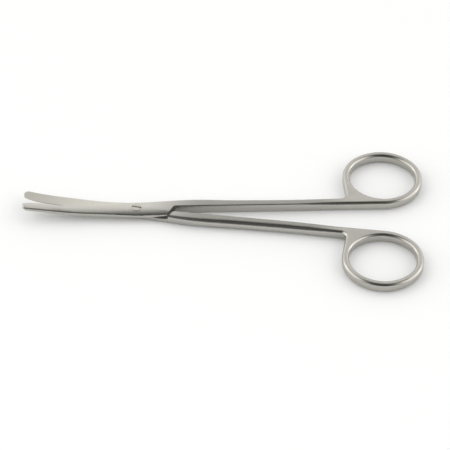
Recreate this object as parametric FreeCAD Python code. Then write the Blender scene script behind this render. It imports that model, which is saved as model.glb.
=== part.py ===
import FreeCAD, Part
import math
import os

from FreeCAD import Vector

# Curved dissecting scissors with two finger rings, all sizes in millimetres.
# Frame: the pivot's axis is the Z axis, and z = 0 is the surface that the scissors lie on.
# The rings point along +X, the blades along -X, and the tips curve up towards +Z.
# Each half is built in its closed pose, with the parting plane at y = 0 and its ring at +Y.
# The lower half is then mirrored to the other side of that plane, and both are turned
# about the pivot by half of the opening that the scissors rest at.

# Whole instrument
thickness = 4.1            # height of the shanks, the rings and the closed joint
rest_opening = 7.8         # angle between the two halves as they lie, in degrees
face_gap = 0.2             # from the parting plane to the inner face of a shank
slide_clearance = 0.05     # between the two sliding faces

# Finger rings
ring_centre_x = 89.6       # from the pivot to the middle of a ring
ring_length = 29.0         # outside, about along the shank
ring_width = 25.4          # outside, across the shank
ring_end_share = 0.92      # radius of the oval's ends, as a share of half its width
ring_wall = 2.55           # width of the ring's wire, seen from above
ring_turn = -4.3           # turn of the oval against its shank, in degrees
ring_rounding = 1.15       # of the wire's four edges
web_angle = 185.0          # that the oval faces where the web leaves it, in degrees
web_corner = 1.9           # hollow corner between the web and the shank

# Shanks
shank_end_side = 3.2       # from the parting plane to the outer side, by the ring
shank_side = 3.38          # the same, half way along
shank_side_x = 38.0        # from the pivot to that place
shoulder_side = 3.65       # from the parting plane to the outer side, where it is widest
shoulder_side_x = 19.0     # from the pivot to that place
shank_rounding = 1.7       # of the outer edges along the shank
shank_fade = 16.0          # length over which that rounding changes to the ring's
joint_rounding = 0.45      # of the outer edges beside the joint
inner_rounding = 0.35      # of the edges along the inner face

# Joint
joint_side = 2.8           # from the parting plane to the ring's side of the joint
joint_side_x = 8.0         # from the pivot to where that is measured
joint_back = 3.4           # from the parting plane to the other side, which becomes the back
plate_end_x = 13.2         # from the pivot to where the plate's end meets the parting plane
plate_end_angle = 57.0     # of the plate's end against the parting plane, in degrees
plate_corner = 1.6         # hollow corner between the plate's end and the inner face
shoulder_gap = 0.55        # from one half's plate to the other half's shoulder when closed

# Blades
blade_length = 41.0        # from the pivot to the tip
heel_x = 5.5               # from the pivot to the heel, where the cutting edge starts
heel_side = 2.3            # from the parting plane to the heel
rise_lead = 2.5            # from the heel to where the blades start to rise
blade_rise = 3.35          # height that the sliding face gains up to the tip
edge_side = 1.7            # from the blade's middle line to its cutting edge
edge_bend = 9.0            # from the tip back to where the edge bends in to it
edge_turn = 1.0            # of the cutting edge at its heel, in degrees
root_back = 2.8            # from the blade's middle line to its back, near the joint
root_back_x = 11.0         # from the pivot to where that is measured
blade_back = 2.45          # from the blade's middle line to its back, half way along
blade_back_run = 17.0      # from the tip back to where that is measured
tip_thickness = 1.3        # of one blade
tip_radius = 1.7           # of the blunt tip, seen from above
tip_offset = 0.2           # from the blade's middle line to the tip's centre
tip_lean = 35.0            # how far round the tip the cutting edge ends, in degrees
tip_break = 12.0           # corner between the cutting edge and the blunt tip, in degrees
back_rounding = 0.75       # of the back's outer edge at the joint
tip_rounding = 0.5         # of the same edge at the tip
edge_land = 0.4            # upright land between the cutting edge and its ground bevel
bevel_angle = 40.0         # lean of the bevel from upright, in degrees
bevel_sections = 7         # sections that the bevel is lofted through
crown_radius = 7.0         # of the outer face of joint and blade, across the half
crown_drop = 0.06          # from the flat top of the shank down to the crown's ridge
crown_run_out = 200.0      # radius of the arc on which that crown leaves the joint

# Pivot screw
head_diameter = 3.4        # slotted countersunk head
head_rim = 0.25            # height of the head's straight edge
head_dome = 0.1            # by which the head's middle stands proud
journal_diameter = 2.5     # plain part that the upper half turns on
stem_diameter = 2.0        # threaded part in the lower half
running_clearance = 0.05   # all round the journal and the head
seat_clearance = 0.02      # all round the stem
slot_width = 0.5
slot_depth = 0.55
slot_turn = -14.0          # of the slot against the upper half's middle line, in degrees

half_thickness = thickness / 2
rise_start = heel_x + rise_lead
margin = 5.0               # by which cutting tools run past what they cut
small_margin = 1.0         # the same, where there is less room
reach = 2 * (ring_centre_x + ring_length)
touch = 0.01               # nearness at which a point counts as lying on a line
nearly_level = 0.8         # slope from which a face counts as level, where 1 is level
far_out = 0.9              # share of a distance from which a point counts as at its far end
rounding_share = 0.45      # most that one rounding takes of a wall with two
back_share = 0.8           # most that the back's rounding takes of a blade's thickness
up = Vector(0, 0, 1)
origin = Vector(0, 0, 0)
document = FreeCAD.newDocument("scissors")


def polar(length, degrees):
    angle = math.radians(degrees)
    return Vector(length * math.cos(angle), length * math.sin(angle), 0)


def line(start, end):
    return Part.LineSegment(start, end).toShape()


def spline(points, first_way, last_way):
    """A smooth curve through points, leaving and arriving at angles in degrees."""
    curve = Part.BSplineCurve()
    curve.interpolate(Points=points, InitialTangent=polar(1, first_way), FinalTangent=polar(1, last_way))
    return curve


def block(low, high):
    size = high - low
    return Part.makeBox(size.x, size.y, size.z, low)


def between(stations, x):
    """Value at x on the straight lines between stations, each a pair of place and value."""
    if x <= stations[0][0]:
        return stations[0][1]
    for low, high in zip(stations, stations[1:]):
        if x <= high[0]:
            share = (x - low[0]) / (high[0] - low[0])
            return low[1] + share * (high[1] - low[1])
    return stations[-1][1]


# Edges and their rounding

def middle(edge):
    return edge.valueAt((edge.FirstParameter + edge.LastParameter) / 2)


def is_upright(edge):
    return abs(edge.tangentAt(edge.FirstParameter).z) > 1 - touch


def slope_at(face, point):
    """How far a face lies flat at a point: 1 is level and 0 is upright."""
    u, v = face.Surface.parameter(point)
    return abs(face.normalAt(u, v).z)


def is_rim(solid, edge):
    """Whether an upright face meets a level or gently sloping one along an edge."""
    if is_upright(edge):
        return False
    faces = solid.ancestorsOfType(edge, Part.Face)
    slopes = sorted(slope_at(face, middle(edge)) for face in faces)
    return slopes[0] < touch and slopes[-1] > nearly_level


def round_rims(solid, is_wanted, rounding):
    """Round the rims that are wanted, each with the rounding given for its two ends."""
    picks = []
    for number, edge in enumerate(solid.Edges, start=1):
        if is_wanted(middle(edge)) and is_rim(solid, edge):
            first = rounding(edge.valueAt(edge.FirstParameter))
            last = rounding(edge.valueAt(edge.LastParameter))
            picks.append((number, first, last))
    base = document.addObject("Part::Feature", "Base")
    base.Shape = solid
    rounded = document.addObject("Part::Fillet", "Rounded")
    rounded.Base = base
    rounded.Edges = picks
    document.recompute()
    return rounded.Shape


def round_upright_edge(solid, foot, radius):
    """Round the upright edge that stands on a point of the outline."""
    edges = []
    for edge in solid.Edges:
        away = middle(edge) - foot
        if is_upright(edge) and math.hypot(away.x, away.y) < touch:
            edges.append(edge)
    return solid.makeFillet(radius, edges)


# Outline of a half, seen from above

def oval_radii():
    """Radii of the oval's two ends and of its two long sides."""
    along = ring_length / 2
    across = ring_width / 2
    end = ring_end_share * across
    side = (along ** 2 - 2 * along * end + across ** 2) / (2 * (across - end))
    return end, side


def oval_joints():
    """Directions, in degrees, that the oval faces where its four arcs meet."""
    end, side = oval_radii()
    turn = math.degrees(math.atan2(side - ring_width / 2, ring_length / 2 - end))
    return [ring_turn + angle for angle in (turn, 180 - turn, 180 + turn, 360 - turn)]


def oval_arc(facing):
    """Centre and radius of the arc that faces a direction, measured from the oval's centre."""
    end, side = oval_radii()
    first, second, third, fourth = [joint - ring_turn for joint in oval_joints()]
    angle = (facing - ring_turn) % 360
    if angle < first or angle > fourth:
        return polar(ring_length / 2 - end, ring_turn), end
    if angle < second:
        return polar(side - ring_width / 2, ring_turn + 270), side
    if angle < third:
        return polar(ring_length / 2 - end, ring_turn + 180), end
    return polar(side - ring_width / 2, ring_turn + 90), side


def ring_centre():
    """The oval's outside just touches the plane of the inner face."""
    centre, radius = oval_arc(270)
    return Vector(ring_centre_x, face_gap + radius - centre.y, 0)


def ring_point(facing, inset=0.0):
    """The oval's point that faces a direction in degrees, this far inside its outline."""
    centre, radius = oval_arc(facing)
    return ring_centre() + centre + polar(radius - inset, facing)


def ring_arcs(start, end, inset=0.0):
    """The oval's arcs from one direction to another, anticlockwise."""
    stops = [start]
    for whole_turn in (-360, 0, 360):
        stops += [joint + whole_turn for joint in oval_joints() if start < joint + whole_turn < end]
    stops.append(end)
    arcs = []
    for low, high in zip(stops, stops[1:]):
        halfway = ring_point((low + high) / 2, inset)
        arcs.append(Part.Arc(ring_point(low, inset), halfway, ring_point(high, inset)).toShape())
    return arcs


def web_ends():
    """The web's outer side: from the oval straight down to the shank's outer side."""
    top = ring_point(web_angle)
    way = polar(1, web_angle + 90)
    foot = top + way * ((shank_end_side - top.y) / way.y)
    return top, foot


def ring_part_x():
    """Where the ring, its web and the end of its shank leave the rest of the half."""
    return web_ends()[1].x - 2 * web_corner


def plate_end():
    """The sloping end of the lap plate: from the inner face to the back's side."""
    slope = math.tan(math.radians(plate_end_angle))
    inner = Vector(plate_end_x + face_gap / slope, face_gap, 0)
    back = Vector(plate_end_x - joint_back / slope, -joint_back, 0)
    return inner, back


def tip_centre():
    return Vector(tip_radius - blade_length, -tip_offset, 0)


def heel():
    return Vector(-heel_x, heel_side, 0)


def ring_side_curves():
    """The side of shank and joint below the ring, from the straight end of the shank to the heel."""
    end = Vector(ring_part_x() - shank_fade, shank_end_side, 0)
    halfway = Vector(shank_side_x, shank_side, 0)
    widest = Vector(shoulder_side_x, shoulder_side, 0)
    taper = math.degrees(math.atan2(widest.y - end.y, widest.x - end.x))
    by_joint = [halfway, widest, Vector(joint_side_x, joint_side, 0), heel()]
    return [spline([end, halfway], 180, taper), spline(by_joint, taper, 180)]


def cutting_edge_curve():
    """The cutting edge: nearly straight, then bent in to the blunt tip."""
    points = [
        heel(),
        Vector(edge_bend - blade_length, edge_side, 0),
        tip_centre() + polar(tip_radius, 90 + tip_lean),
    ]
    return spline(points, 180 + edge_turn, 180 + tip_lean - tip_break)


def back_curve():
    """The blade's back and the side of the joint that it grows out of."""
    points = [
        plate_end()[1],
        Vector(0, -joint_back, 0),
        Vector(-root_back_x, -root_back, 0),
        Vector(blade_back_run - blade_length, -blade_back, 0),
        tip_centre() + polar(tip_radius, 270),
    ]
    return spline(points, 180, 180)


def half_outline():
    """The whole half, without the hole in its ring."""
    web_top, web_foot = web_ends()
    plate_inner, plate_back = plate_end()
    shank_end = Vector(ring_part_x(), shank_end_side, 0)
    inner_end = Vector(ring_part_x(), face_gap, 0)
    inner_fade = inner_end - Vector(shank_fade, 0, 0)
    by_shank, by_joint = ring_side_curves()
    cutting_edge = cutting_edge_curve()
    back = back_curve()
    tip = Part.Arc(cutting_edge.EndPoint, tip_centre() + polar(tip_radius, 180), back.EndPoint)
    edges = ring_arcs(-90, web_angle) + [
        line(web_top, web_foot),
        line(web_foot, shank_end),
        line(shank_end, by_shank.StartPoint),
        by_shank.toShape(),
        by_joint.toShape(),
        cutting_edge.toShape(),
        tip.toShape(),
        back.toShape(),
        line(plate_back, plate_inner),
        line(plate_inner, inner_fade),
        line(inner_fade, inner_end),
        line(inner_end, ring_point(-90)),
    ]
    return Part.Face(Part.Wire(Part.__sortEdges__(edges)))


def prism(low_x, high_x):
    """What stands on the outline between two distances along X."""
    piece = block(Vector(low_x, -reach, -margin), Vector(high_x, reach, reach))
    return half_outline().extrude(up * thickness).common(piece)


# Shank, ring and lap plate

def ring_edge_rounding():
    return min(ring_rounding, rounding_share * ring_wall, rounding_share * thickness)


def handle_rounding(point):
    """Rounding of the shank's edges, which changes along the half."""
    end_x = ring_part_x()
    fade_x = end_x - shank_fade
    if point.y < face_gap + touch:
        return between([(fade_x, inner_rounding), (end_x, ring_edge_rounding())], point.x)
    most = rounding_share * thickness
    full = min(shank_rounding, most)
    by_heel = min(joint_rounding, most)
    stations = [(-heel_x, by_heel), (shank_side_x, full), (fade_x, full), (end_x, ring_edge_rounding())]
    return between(stations, point.x)


def hole_side(wall, rounding):
    """Half section of the hole's side with its two rounded rims, from an arc's centre outwards."""
    inner = wall - small_margin
    over = thickness + margin
    diagonal = rounding * math.sqrt(0.5)
    low_rim = Vector(wall + rounding - diagonal, 0, rounding - diagonal)
    high_rim = Vector(low_rim.x, 0, thickness - low_rim.z)
    low = [Vector(wall + rounding, 0, 0), low_rim, Vector(wall, 0, rounding)]
    high = [Vector(wall, 0, thickness - rounding), high_rim, Vector(wall + rounding, 0, thickness)]
    edges = [
        Part.Arc(*low).toShape(),
        line(low[2], high[0]),
        Part.Arc(*high).toShape(),
        line(high[2], Vector(wall + rounding, 0, over)),
        line(Vector(wall + rounding, 0, over), Vector(inner, 0, over)),
        line(Vector(inner, 0, over), Vector(inner, 0, -margin)),
        line(Vector(inner, 0, -margin), Vector(wall + rounding, 0, -margin)),
        line(Vector(wall + rounding, 0, -margin), low[0]),
    ]
    return Part.Face(Part.Wire(edges))


def ring_hole():
    """Tools that cut the hole: its middle, and its side with the rounded rims, arc by arc."""
    inset = ring_wall + small_margin / 2
    tools = [Part.Face(Part.Wire(ring_arcs(-90, 270, inset))).extrude(up * thickness)]
    joints = oval_joints()
    for start, end in zip(joints, joints[1:] + [joints[0] + 360]):
        centre, radius = oval_arc((start + end) / 2)
        side = hole_side(radius - ring_wall, ring_edge_rounding())
        side.rotate(origin, up, start)
        side.translate(ring_centre() + centre)
        tools.append(side.revolve(ring_centre() + centre, up, end - start))
    return tools


def ring_part():
    """The ring with its web and the end of its shank, all with the same rounding."""
    solid = prism(ring_part_x(), reach)
    solid = round_upright_edge(solid, web_ends()[1], web_corner)
    edges = []
    for edge in solid.Edges:
        if middle(edge).x > ring_part_x() + touch and is_rim(solid, edge):
            edges.append(edge)
    solid = solid.makeFillet(ring_edge_rounding(), edges)
    return solid.cut(ring_hole())


def lap_space():
    """Room for the other half's plate, under this half's plate."""
    slope = polar(reach, plate_end_angle)
    shoulder_x = plate_end_x + shoulder_gap / math.sin(math.radians(plate_end_angle))
    corners = [
        Vector(shoulder_x + slope.x, -slope.y, -margin),
        Vector(shoulder_x - slope.x, slope.y, -margin),
        Vector(-reach, slope.y, -margin),
        Vector(-reach, -slope.y, -margin),
    ]
    space = Part.Face(Part.makePolygon(corners + corners[:1]))
    return space.extrude(up * (margin + half_thickness + slide_clearance / 2))


def ridge_height(side):
    """Height of the crown's ridge beside the pivot, on top (side 1) or below (side -1)."""
    return half_thickness + side * (half_thickness - crown_drop)


def crown_section(side):
    """What lies outside the crowned outer face, in the upright plane across the pivot."""
    span = shoulder_side + small_margin
    ridge = Vector(0, 0, ridge_height(side))
    edge = Vector(0, span, ridge.z - side * (crown_radius - math.sqrt(crown_radius ** 2 - span ** 2)))
    other_edge = Vector(0, -span, edge.z)
    outside = Vector(0, 0, side * 2 * margin)
    arc = Part.Arc(other_edge, ridge, edge).toShape()
    rest = Part.makePolygon([edge, edge + outside, other_edge + outside, other_edge])
    return Part.Face(Part.Wire([arc] + rest.Edges))


def crown_beside_pivot(side):
    """Cuts the outer face level along the joint, from the pivot to where the blades rise."""
    return crown_section(side).extrude(Vector(-rise_start, 0, 0))


def crown_behind_pivot():
    """Cuts the outer face behind the pivot, where the crown runs out into the flat top."""
    axis_place = Vector(0, 0, ridge_height(1) + crown_run_out)
    turn = math.degrees(math.asin((plate_end_x + 2 * margin) / crown_run_out))
    return crown_section(1).revolve(axis_place, Vector(0, -1, 0), turn)


def crown_along_blade(side):
    """Cuts the blade's outer face, which rises on an arc from the joint to past the tip."""
    section = crown_section(side)
    section.translate(Vector(-rise_start, 0, 0))
    tip_height = half_thickness + blade_rise + side * tip_thickness
    radius = rise_radius(tip_height - ridge_height(side))
    axis_place = Vector(-rise_start, 0, ridge_height(side) + radius)
    turn = math.degrees(math.asin((blade_length + margin - rise_start) / radius))
    return section.revolve(axis_place, Vector(0, 1, 0), turn)


def shank_part():
    """The shank and the lap plate, from the heel to the ring's part."""
    solid = prism(-heel_x, ring_part_x())
    solid = round_upright_edge(solid, plate_end()[0], plate_corner)

    def on_outside(point):
        inside_ends = touch - heel_x < point.x < ring_part_x() - touch
        return inside_ends and point.y > face_gap - touch

    solid = round_rims(solid, on_outside, handle_rounding)
    return solid.cut([crown_beside_pivot(1), crown_behind_pivot(), lap_space()])


# Blades, between surfaces that are turned about the pivot's axis

def rise_radius(rise):
    """Radius of the arc that gains this rise between its start and the tip."""
    run = blade_length - rise_start
    return (run ** 2 + rise ** 2) / (2 * rise)


def sliding_height(distance):
    """Height of the sliding faces at a distance from the pivot's axis."""
    if distance <= rise_start:
        return half_thickness
    radius = rise_radius(blade_rise)
    return half_thickness + radius - math.sqrt(radius ** 2 - (distance - rise_start) ** 2)


def sliding_space(side):
    """What lies above (side 1) or below (side -1) the sliding face, turned about the pivot's axis."""
    height = half_thickness + side * slide_clearance / 2
    far = half_thickness + side * (thickness + blade_rise)
    radius = rise_radius(blade_rise)
    turn = math.asin((blade_length + margin - rise_start) / radius)

    def arc_point(angle):
        return Vector(rise_start + radius * math.sin(angle), 0, height + radius * (1 - math.cos(angle)))

    start = arc_point(0)
    end = arc_point(turn)
    edges = [
        line(Vector(0, 0, height), start),
        Part.Arc(start, arc_point(turn / 2), end).toShape(),
        line(end, Vector(end.x, 0, far)),
        line(Vector(end.x, 0, far), Vector(0, 0, far)),
        line(Vector(0, 0, far), Vector(0, 0, height)),
    ]
    return Part.Face(Part.Wire(edges)).revolve(origin, up, 360)


def bevel_section(point, side):
    """Triangle that the bevel's cutter shows at a point of the cutting edge."""
    lean = math.tan(math.radians(bevel_angle))
    out = small_margin
    deep = half_thickness + margin
    level = sliding_height(point.Length) + side * edge_land
    foot = Vector(point.x, point.y + out, level - side * out / lean)
    inner = Vector(point.x, point.y - deep * lean, level + side * deep)
    outer = Vector(point.x, point.y + out, level + side * deep)
    return Part.makePolygon([foot, inner, outer, foot])


def bevel_cutter(side):
    """What the grinding takes off above (side 1) or below (side -1) the cutting edge."""
    points = cutting_edge_curve().discretize(Number=bevel_sections)
    past_tip = points[-1] + polar(tip_radius, 180 + tip_lean - tip_break)
    return Part.makeLoft([bevel_section(point, side) for point in points + [past_tip]], True)


def blade(side):
    """The blade in front of the heel, above (side 1) or below (side -1) the sliding face."""
    solid = half_outline().extrude(up * (thickness + blade_rise + margin))
    solid = solid.common(block(Vector(-reach, -reach, -margin), Vector(-heel_x, reach, reach)))
    solid = solid.common(sliding_space(side))
    solid = solid.cut([crown_beside_pivot(side), crown_along_blade(side)])
    return solid.cut(bevel_cutter(side))


# Pivot screw and its holes

def screw_outline(clearance, top):
    """Half section of the screw's head and journal, seated on the lower half."""
    head = head_diameter / 2 + clearance
    journal = journal_diameter / 2 + clearance
    rim_foot = thickness - head_rim
    seat = half_thickness - slide_clearance / 2
    return [
        Vector(0, 0, seat),
        Vector(journal, 0, seat),
        Vector(journal, 0, rim_foot - (head - journal)),
        Vector(head, 0, rim_foot),
        Vector(head, 0, top),
        Vector(0, 0, top),
    ]


def turned(points):
    return Part.Face(Part.makePolygon(points + points[:1])).revolve(origin, up, 360)


def head_ball():
    """The ball that the head's dome is part of."""
    head = head_diameter / 2
    radius = (head ** 2 + head_dome ** 2) / (2 * head_dome)
    return Part.makeSphere(radius, Vector(0, 0, thickness + head_dome - radius))


def pivot_screw():
    head = turned(screw_outline(0, thickness + head_dome)).common(head_ball())
    stem = Part.makeCylinder(stem_diameter / 2, half_thickness)
    slot_low = Vector(-head_diameter, -slot_width / 2, thickness - slot_depth)
    slot_high = Vector(head_diameter, slot_width / 2, thickness + margin)
    slot = block(slot_low, slot_high)
    slot.rotate(origin, up, slot_turn)
    return head.fuse(stem).removeSplitter().cut(slot)


# The two halves

def back_edge_rounding(point):
    """Rounding of the back's outer edge, which shrinks towards the tip."""
    at_tip = min(tip_rounding, back_share * tip_thickness)
    at_joint = min(back_rounding, back_share * half_thickness)
    return between([(tip_centre().x, at_tip), (-heel_x, at_joint)], point.x)


def half(side):
    """A half that lies on top at the joint (side 1) or below (side -1), with its ring at +Y."""
    handle = shank_part().fuse(ring_part())
    if side < 0:
        handle = handle.mirror(Vector(0, 0, half_thickness), up)
    solid = handle.fuse(blade(side)).removeSplitter()

    def on_outer_back(point):
        slide_here = sliding_height(math.hypot(point.x, point.y))
        outside = side * (point.z - slide_here) > tip_thickness / 2
        beside_back = point.y < -far_out * tip_radius and point.x < plate_end()[1].x - touch
        return outside and (beside_back or point.x < tip_centre().x - tip_radius / 2)

    return round_rims(solid, on_outer_back, back_edge_rounding)


def upper_half():
    return half(1).cut(turned(screw_outline(running_clearance, thickness + margin)))


def lower_half():
    """The half below, mirrored to the other side of the parting plane."""
    solid = half(-1).mirror(origin, Vector(0, 1, 0))
    return solid.cut(Part.makeCylinder(stem_diameter / 2 + seat_clearance, thickness))


def write(solid, name, opening):
    solid.rotate(origin, up, opening)
    solid.exportStep("parts/" + name + ".step")


os.makedirs("parts", exist_ok=True)
write(upper_half(), "upper_half", rest_opening / 2)
write(lower_half(), "lower_half", -rest_opening / 2)
write(pivot_screw(), "pivot_screw", rest_opening / 2)
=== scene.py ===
import math

import bmesh
import bpy
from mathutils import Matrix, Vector


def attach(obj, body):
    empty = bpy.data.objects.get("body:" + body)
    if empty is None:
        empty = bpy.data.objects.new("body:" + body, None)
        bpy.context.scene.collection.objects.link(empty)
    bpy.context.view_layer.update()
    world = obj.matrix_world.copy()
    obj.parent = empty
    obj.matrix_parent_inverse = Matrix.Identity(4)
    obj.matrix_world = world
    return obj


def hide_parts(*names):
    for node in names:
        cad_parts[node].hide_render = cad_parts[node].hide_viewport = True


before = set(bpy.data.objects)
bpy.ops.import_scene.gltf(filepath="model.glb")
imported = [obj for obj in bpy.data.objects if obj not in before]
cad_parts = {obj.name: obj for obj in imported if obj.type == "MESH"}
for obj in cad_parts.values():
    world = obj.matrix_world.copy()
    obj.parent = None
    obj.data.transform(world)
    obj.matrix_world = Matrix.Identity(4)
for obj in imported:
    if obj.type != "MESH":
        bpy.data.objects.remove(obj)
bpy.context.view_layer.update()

# Curved dissecting scissors of stainless steel, lying a little open on a white table.
# Metres throughout. The pivot's axis is Z, the rings point along +X and the blades along -X.

MM = 0.001

# Each half rests this far from its closed pose, about the pivot's axis
HALF_OPENING = math.radians(3.9)
# Height of the sliding faces at the joint
SLIDING_HEIGHT = 2.05 * MM
# From the pivot to the heel, past which a half is a blade
HEEL = 5.5 * MM
# From the pivot to the far end of the plates that lie on each other
PLATE_REACH = 13 * MM
# The joint's corner, where a plate's end meets the other half's shoulder. Its faces are painted dark as
# shade.
CORNER_START = 10.9 * MM
CORNER_END = 14.4 * MM
CORNER_HALF_WIDTH = 4.2 * MM


def linear(hex_colour):
    """The linear colour of an sRGB hex value, with alpha."""
    values = []
    for start in (1, 3, 5):
        share = int(hex_colour[start:start + 2], 16) / 255
        values.append(share / 12.92 if share <= 0.04045 else ((share + 0.055) / 1.055) ** 2.4)
    return (*values, 1.0)


def node(tree, kind, inputs=None, **settings):
    """A node with its settings, and its inputs set to values or linked to other nodes' outputs."""
    made = tree.nodes.new(kind)
    for name, value in settings.items():
        setattr(made, name, value)
    for name, value in (inputs or {}).items():
        if isinstance(value, bpy.types.NodeSocket):
            tree.links.new(value, made.inputs[name])
        else:
            made.inputs[name].default_value = value
    return made


def new_material(name):
    """An empty node material, its tree and its output."""
    material = bpy.data.materials.new(name)
    material.use_nodes = True
    tree = material.node_tree
    tree.nodes.clear()
    return material, tree, node(tree, "ShaderNodeOutputMaterial")


# Steel

# The lighter and the darker colour of each finish
SHANK_STEEL = "#A7A6A0", "#9E9D97"
BLADE_STEEL = "#D5D3CC", "#CAC8C1"
RING_STEEL = "#C0BEB7", "#B2B0A9"
GROUND_STEEL = "#DEDCD2", "#D6D4CA"
# Painted shade: the dark colours of the joint's corner, where shade falls between the halves
CORNER_SHADE_COLOURS = "#76736A", "#625F57"
TURNED_STEEL = "#D0CEC5", "#C2C0B6"
# The one colour of every wall of the shank and the blade: painted light on the shank's sides, lighter
# than its top, and painted shade on the blade's walls, darker than its level faces
SIDE_LIGHT_AND_SHADE_STEEL = "#B6B4AE"
# Painted shade: the ground face's greyer colour towards the tip
TIP_SHADE_STEEL = "#BBB9B1"

# Steel has a roughness of about 0.2 where it is buffed or turned, 0.3 brushed or ground, and 0.4 on the
# dull, painted shade of the joint's corner
SHANK_ROUGHNESS = 0.27
BLADE_ROUGHNESS = 0.31
RING_SMOOTHING = 0.06
GROUND_ROUGHNESS = 0.3
CORNER_ROUGHNESS = 0.42
TURNED_ROUGHNESS = 0.24

# The lines that a brush, a stone or a lathe leaves are about 0.03 mm wide.
# They are drawn wider than that, so that they show.
# Each pattern has its size along the half and its size across it.
BRUSHED_ALONG = 5 * MM, 0.12 * MM
BRUSHED_ACROSS = 0.22 * MM, 3 * MM
GROUND_ACROSS = 0.16 * MM, 4 * MM
# Cloudy patches left by polishing by hand, and a fine mottle in the painted shade of the joint's corner
CLOUD = 9 * MM, 6 * MM
MOTTLE = 0.8 * MM, 0.5 * MM
# From one turned ring to the next
TURNED_PITCH = 0.16 * MM

# How deep the marks look
BRUSHED_DEPTH = 0.004 * MM
GROUND_DEPTH = 0.003 * MM
# In the joint's corner, under its painted shade
CORNER_MARK_DEPTH = 0.004 * MM
TURNED_DEPTH = 0.01 * MM
MARK_STRENGTH = 0.3

# Places along a half, from the pivot, between which one finish runs over into the next
BLADE_FINISH_START = 24 * MM
BLADE_FINISH_END = 2 * MM
RING_FINISH_START = 62 * MM
RING_FINISH_END = 78 * MM
# Between these, the ground face greys into its painted shade towards the tip
TIP_SHADE_START = -12 * MM
TIP_SHADE_END = -44 * MM
# How much of a face's normal is along Z, where it starts to be level and where it is level
LEVEL_START = 0.72
LEVEL_END = 0.95
# How much of the handwork's pattern is cloud, where the rest is lines
CLOUD_SHARE = 0.35


def along_half(tree, turn):
    """Place on a half, turned so that X runs along it."""
    place = node(tree, "ShaderNodeTexCoord").outputs["Object"]
    return node(tree, "ShaderNodeMapping", {"Vector": place, "Rotation": (0, 0, turn)}).outputs["Vector"]


def marks(tree, place, size, detail=3.0):
    """A pattern of lines or patches, of a size along the half and a size across it."""
    along, across = size
    stretched = node(tree, "ShaderNodeMapping", {
        "Vector": place, "Scale": (1 / along, 1 / across, 1 / across)})
    noise = node(tree, "ShaderNodeTexNoise", {
        "Vector": stretched.outputs["Vector"], "Scale": 1.0, "Detail": detail, "Roughness": 0.55})
    return noise.outputs["Fac"]


def tinted(tree, pattern, steel):
    """A steel's colour, lighter and darker by a pattern that stays near its middle."""
    light, shade = steel
    share = node(tree, "ShaderNodeMapRange", {"Value": pattern, "From Min": 0.32, "From Max": 0.68})
    mixed = node(tree, "ShaderNodeMix", {
        0: share.outputs["Result"], 6: linear(shade), 7: linear(light)}, data_type="RGBA")
    return mixed.outputs[2]


def bare_metal(tree, output, colour, roughness, height, depth):
    """Bare metal with marks: their height goes from 0 to 1, and their depth is in metres."""
    bump = node(tree, "ShaderNodeBump", {"Height": height, "Strength": MARK_STRENGTH, "Distance": depth})
    shader = node(tree, "ShaderNodeBsdfPrincipled", {
        "Base Color": colour, "Metallic": 1.0, "Roughness": roughness, "Normal": bump.outputs["Normal"]})
    tree.links.new(shader.outputs["BSDF"], output.inputs["Surface"])


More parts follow.
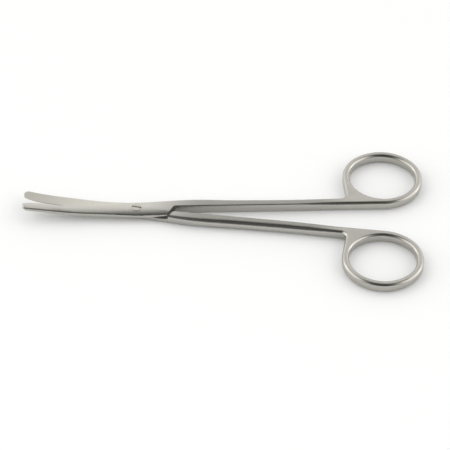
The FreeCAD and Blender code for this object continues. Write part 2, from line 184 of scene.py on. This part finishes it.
def brushed_steel(body, turn):
    """Brushed stainless steel.

    The eye sees a silky grey. The blade's level faces are brushed across and pale, the shank is brushed
    along and darker, and the ring is buffed, with softer marks. All walls take one plain colour, with
    painted light that makes the shank's sides lighter than its top and painted shade that makes the
    blade's walls darker than its faces.
    """
    material, tree, output = new_material("brushed_stainless_steel_" + body)
    place = along_half(tree, turn)
    x = node(tree, "ShaderNodeSeparateXYZ", {"Vector": place}).outputs["X"]

    normal = node(tree, "ShaderNodeTexCoord").outputs["Normal"]
    rise = node(tree, "ShaderNodeSeparateXYZ", {"Vector": normal}).outputs["Z"]
    either_way = node(tree, "ShaderNodeMath", {0: rise}, operation="ABSOLUTE").outputs[0]
    level = node(tree, "ShaderNodeMapRange", {
        "Value": either_way, "From Min": LEVEL_START, "From Max": LEVEL_END},
        interpolation_type="SMOOTHSTEP").outputs["Result"]
    near_blade = node(tree, "ShaderNodeMapRange", {
        "Value": x, "From Min": BLADE_FINISH_START, "From Max": BLADE_FINISH_END},
        interpolation_type="SMOOTHSTEP").outputs["Result"]
    on_blade = node(tree, "ShaderNodeMath", {0: near_blade, 1: level}, operation="MULTIPLY").outputs[0]
    on_ring = node(tree, "ShaderNodeMapRange", {
        "Value": x, "From Min": RING_FINISH_START, "From Max": RING_FINISH_END},
        interpolation_type="SMOOTHSTEP").outputs["Result"]

    lines = node(tree, "ShaderNodeMix", {
        0: on_blade, 2: marks(tree, place, BRUSHED_ALONG), 3: marks(tree, place, BRUSHED_ACROSS)},
        data_type="FLOAT").outputs[0]
    most = node(tree, "ShaderNodeMath", {0: lines, 1: 1 - CLOUD_SHARE}, operation="MULTIPLY").outputs[0]
    cloud = marks(tree, place, CLOUD, detail=2.0)
    handwork = node(tree, "ShaderNodeMath", {
        0: cloud, 1: CLOUD_SHARE, 2: most}, operation="MULTIPLY_ADD").outputs[0]

    # Painted light and shade: faces that are not level take the one side colour, lighter than the
    # shank's top and darker than the blade's faces
    shank = node(tree, "ShaderNodeMix", {
        0: level, 6: linear(SIDE_LIGHT_AND_SHADE_STEEL), 7: tinted(tree, handwork, SHANK_STEEL)},
        data_type="RGBA").outputs[2]
    shank_and_blade = node(tree, "ShaderNodeMix", {
        0: on_blade, 6: shank, 7: tinted(tree, handwork, BLADE_STEEL)}, data_type="RGBA").outputs[2]
    colour = node(tree, "ShaderNodeMix", {
        0: on_ring, 6: shank_and_blade, 7: tinted(tree, handwork, RING_STEEL)},
        data_type="RGBA").outputs[2]

    off_ring_roughness = node(tree, "ShaderNodeMapRange", {
        "Value": on_blade, "To Min": SHANK_ROUGHNESS, "To Max": BLADE_ROUGHNESS}).outputs["Result"]
    roughness = node(tree, "ShaderNodeMath", {
        0: on_ring, 1: -RING_SMOOTHING, 2: off_ring_roughness}, operation="MULTIPLY_ADD").outputs[0]
    off_ring = node(tree, "ShaderNodeMath", {0: 1.0, 1: on_ring}, operation="SUBTRACT").outputs[0]
    height = node(tree, "ShaderNodeMath", {0: lines, 1: off_ring}, operation="MULTIPLY").outputs[0]
    bare_metal(tree, output, colour, roughness, height, BRUSHED_DEPTH)
    return material


def ground_steel(body, turn):
    """Ground stainless steel. The eye sees a pale, warm face with cross lines, greyed by painted shade
    towards the tip.
    """
    material, tree, output = new_material("ground_stainless_steel_" + body)
    place = along_half(tree, turn)
    lines = marks(tree, place, GROUND_ACROSS)
    x = node(tree, "ShaderNodeSeparateXYZ", {"Vector": place}).outputs["X"]
    at_tip = node(tree, "ShaderNodeMapRange", {
        "Value": x, "From Min": TIP_SHADE_START, "From Max": TIP_SHADE_END},
        interpolation_type="SMOOTHSTEP").outputs["Result"]
    # Painted shade, greying the ground face towards the tip
    colour = node(tree, "ShaderNodeMix", {
        0: at_tip, 6: tinted(tree, lines, GROUND_STEEL), 7: linear(TIP_SHADE_STEEL)},
        data_type="RGBA").outputs[2]
    bare_metal(tree, output, colour, GROUND_ROUGHNESS, lines, GROUND_DEPTH)
    return material


def shaded_corner_steel(body, turn):
    """Painted shade on the joint's corner: dark, dull, mottled steel on the walls across the corner and
    on the sliding face beside them, where shade falls.
    """
    material, tree, output = new_material("painted_shade_stainless_steel_" + body)
    skin = marks(tree, along_half(tree, turn), MOTTLE)
    bare_metal(tree, output, tinted(tree, skin, CORNER_SHADE_COLOURS), CORNER_ROUGHNESS, skin, CORNER_MARK_DEPTH)
    return material


def turned_steel():
    """Turned stainless steel. The eye sees a bright head with fine rings about the screw's axis."""
    material, tree, output = new_material("turned_stainless_steel")
    place = node(tree, "ShaderNodeTexCoord").outputs["Object"]
    flat = node(tree, "ShaderNodeVectorMath", {0: place, 1: (1, 1, 0)}, operation="MULTIPLY")
    radius = node(tree, "ShaderNodeVectorMath", {0: flat.outputs["Vector"]}, operation="LENGTH")
    angle = node(tree, "ShaderNodeMath", {
        0: radius.outputs["Value"], 1: 2 * math.pi / TURNED_PITCH}, operation="MULTIPLY")
    wave = node(tree, "ShaderNodeMath", {0: angle.outputs[0]}, operation="SINE")
    # A faint wave about the middle, from 0.38 to 0.62
    rings = node(tree, "ShaderNodeMath", {
        0: wave.outputs[0], 1: 0.12, 2: 0.5}, operation="MULTIPLY_ADD").outputs[0]
    bare_metal(tree, output, tinted(tree, rings, TURNED_STEEL), TURNED_ROUGHNESS, rings, TURNED_DEPTH)
    return material


# Pieces

# Faces that meet at less than this are shaded as one smooth surface
SHARP_EDGE = math.radians(24)
# Corners of triangles that are nearer than this are one corner
SAME_CORNER = 0.0005 * MM
# A face this near to the sliding height is at it
HEIGHT_ERROR = 0.1 * MM
# How much of a face's normal is along Z, on a sliding face, on a level face and at most on a wall
SLIDING_NORMAL = 0.9
LEVEL_NORMAL = 0.99
WALL_NORMAL = 0.8
# How much of a wall's normal is along X, where the wall runs across its half
CROSS_NORMAL = 0.3
# Order of the materials on a half
# The third material is the painted shade of the joint's corner
BRUSHED, GROUND, SHADED_CORNER = range(3)


def joined_copy(name):
    """A copy of a CAD node with its triangles joined, and shaded smooth between sharp edges."""
    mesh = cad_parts[name].data.copy()
    body = bmesh.new()
    body.from_mesh(mesh)
    bmesh.ops.remove_doubles(body, verts=body.verts, dist=SAME_CORNER)
    for face in body.faces:
        face.smooth = True
    for edge in body.edges:
        edge.smooth = len(edge.link_faces) == 2 and edge.calc_face_angle(0) < SHARP_EDGE
    body.to_mesh(mesh)
    body.free()
    mesh.materials.clear()
    piece = bpy.data.objects.new(name + "_finished", mesh)
    bpy.context.scene.collection.objects.link(piece)
    return piece


def is_at_sliding_height(face):
    return abs(face.center.z - SLIDING_HEIGHT) < HEIGHT_ERROR


def is_sliding_face(face, side):
    """Whether a face looks at the other half, on the plate or on the blade."""
    looks_across = side * face.normal.z < -SLIDING_NORMAL
    on_plate = abs(face.center.x) < PLATE_REACH and is_at_sliding_height(face)
    on_blade = face.center.x < -HEEL
    return looks_across and (on_plate or on_blade)


def is_in_shaded_corner(face):
    """Whether a face is a wall across the joint's corner, or the sliding face beside it. These faces get
    the painted shade.
    """
    near = CORNER_START < face.center.x < CORNER_END and abs(face.center.y) < CORNER_HALF_WIDTH
    cross_wall = abs(face.normal.z) < WALL_NORMAL and abs(face.normal.x) > CROSS_NORMAL
    beside = abs(face.normal.z) > LEVEL_NORMAL and is_at_sliding_height(face)
    return near and (cross_wall or beside)


def finish_half(name, body, side):
    """One half, which lies on top at the joint (side 1) or below (side -1)."""
    piece = joined_copy(name)
    # The third steel is the painted shade of the joint's corner
    for steel in (brushed_steel, ground_steel, shaded_corner_steel):
        piece.data.materials.append(steel(body, -side * HALF_OPENING))
    for face in piece.data.polygons:
        # Faces in the joint's corner get the painted shade
        if is_in_shaded_corner(face):
            face.material_index = SHADED_CORNER
        elif is_sliding_face(face, side):
            face.material_index = GROUND
        else:
            face.material_index = BRUSHED
    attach(piece, body)
    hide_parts(name)


finish_half("upper_half", "upper", 1)
finish_half("lower_half", "lower", -1)

screw = joined_copy("pivot_screw")
screw.data.materials.append(turned_steel())
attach(screw, "lower")
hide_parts("pivot_screw")


# Table, light and camera

TABLE_WHITE = "#F6F7F7"
TABLE_REACH = 3.0

ROOM_WHITE = "#FFFEFD"
# Level of the room by its angle in degrees: from the horizon in front, over the top, to behind
ROOM_LEVELS = [
    (0, 0.34), (12, 0.22), (30, 0.09), (84, 0.06), (98, 0.38), (114, 0.84), (140, 1.02), (180, 0.95)]
# Light that the sides of the room add, and how far sideways it starts and is full
SIDE_LEVEL = 0.26
SIDE_START = 0.15
SIDE_END = 0.62
# Light that a window adds on either side, the way to it, and the angles about it where it fades
WINDOW_LEVEL = 1.3
WINDOW_WAY = Vector((0.84, -0.15, 0.5)).normalized()
WINDOW_MIDDLE = math.radians(14)
WINDOW_EDGE = math.radians(42)

LAMP_TARGET = Vector((30, 0, 0)) * MM
CAMERA_TARGET = Vector((32.06, -3.53, 0)) * MM
CAMERA_PLACE = Vector((52.3, -416.1, 492.6)) * MM
# In mm, for a picture 36 mm wide
CAMERA_LENS = 142.9


def add_table():
    """Matt white laminate. The eye sees a plain ground that holds the scissors' soft shadow."""
    mesh = bpy.data.meshes.new("table")
    corners = [(x * TABLE_REACH, y * TABLE_REACH, 0) for x, y in ((-1, -1), (1, -1), (1, 1), (-1, 1))]
    mesh.from_pydata(corners, [], [(0, 1, 2, 3)])
    table = bpy.data.objects.new("table", mesh)
    bpy.context.scene.collection.objects.link(table)
    material, tree, output = new_material("matt_white_laminate")
    shader = node(tree, "ShaderNodeBsdfDiffuse", {"Color": linear(TABLE_WHITE)})
    tree.links.new(shader.outputs["BSDF"], output.inputs["Surface"])
    mesh.materials.append(material)


def light_room():
    """Pale room that is dark in front of the scissors, with a bright window on either side."""
    world = bpy.data.worlds.new("room")
    bpy.context.scene.world = world
    world.use_nodes = True
    tree = world.node_tree
    tree.nodes.clear()
    way = node(tree, "ShaderNodeTexCoord").outputs["Generated"]
    x, y, z = node(tree, "ShaderNodeSeparateXYZ", {"Vector": way}).outputs

    # From the horizon in front to the horizon behind, as a share of half a turn
    front = node(tree, "ShaderNodeMath", {0: y, 1: -1.0}, operation="MULTIPLY").outputs[0]
    turn = node(tree, "ShaderNodeMath", {0: z, 1: front}, operation="ARCTAN2").outputs[0]
    share = node(tree, "ShaderNodeMath", {0: turn, 1: math.pi}, operation="DIVIDE").outputs[0]
    ramp = node(tree, "ShaderNodeValToRGB", {"Fac": share})
    elements = ramp.color_ramp.elements
    while len(elements) < len(ROOM_LEVELS):
        elements.new(0.5)
    for element, (degrees, level) in zip(elements, ROOM_LEVELS):
        element.position = degrees / 180
        element.color = (level, level, level, 1.0)

    # The same on the left and on the right
    sideways = node(tree, "ShaderNodeMath", {0: x}, operation="ABSOLUTE").outputs[0]
    at_side = node(tree, "ShaderNodeMapRange", {
        "Value": sideways, "From Min": SIDE_START, "From Max": SIDE_END},
        interpolation_type="SMOOTHSTEP").outputs["Result"]
    folded = node(tree, "ShaderNodeCombineXYZ", {"X": sideways, "Y": y, "Z": z}).outputs["Vector"]
    nearness = node(tree, "ShaderNodeVectorMath", {
        0: folded, 1: WINDOW_WAY}, operation="DOT_PRODUCT").outputs["Value"]
    in_window = node(tree, "ShaderNodeMapRange", {
        "Value": nearness, "From Min": math.cos(WINDOW_EDGE), "From Max": math.cos(WINDOW_MIDDLE)},
        interpolation_type="SMOOTHSTEP").outputs["Result"]

    room_and_sides = node(tree, "ShaderNodeMath", {
        0: at_side, 1: SIDE_LEVEL, 2: ramp.outputs["Color"]}, operation="MULTIPLY_ADD").outputs[0]
    strength = node(tree, "ShaderNodeMath", {
        0: in_window, 1: WINDOW_LEVEL, 2: room_and_sides}, operation="MULTIPLY_ADD").outputs[0]
    light = node(tree, "ShaderNodeBackground", {"Color": linear(ROOM_WHITE), "Strength": strength})
    node(tree, "ShaderNodeOutputWorld", {"Surface": light.outputs["Background"]})


def aim(thing, place, target):
    """Put a lamp or a camera in the scene, at a place and pointed at a target."""
    thing.location = place
    thing.rotation_euler = (target - Vector(place)).to_track_quat("-Z", "Y").to_euler()
    bpy.context.scene.collection.objects.link(thing)


def soft_lamp(name, place, size, power):
    """A square lamp that steel doesn't mirror."""
    data = bpy.data.lights.new(name, "AREA")
    data.size = size
    data.energy = power
    lamp = bpy.data.objects.new(name, data)
    lamp.visible_glossy = False
    aim(lamp, place, LAMP_TARGET)


def add_camera():
    """The photograph's viewpoint, for a square picture."""
    data = bpy.data.cameras.new("camera")
    data.lens = CAMERA_LENS
    data.sensor_width = 36
    data.clip_start = 10 * MM
    camera = bpy.data.objects.new("camera", data)
    aim(camera, CAMERA_PLACE, CAMERA_TARGET)
    bpy.context.scene.camera = camera


add_table()
light_room()
soft_lamp("overhead_lamp", place=(-0.2, 0.2, 1.1), size=1.3, power=2.3)
soft_lamp("front_lamp", place=(0.1, -0.8, 0.7), size=1.1, power=1.3)
add_camera()
bpy.context.scene.view_settings.view_transform = "Standard"
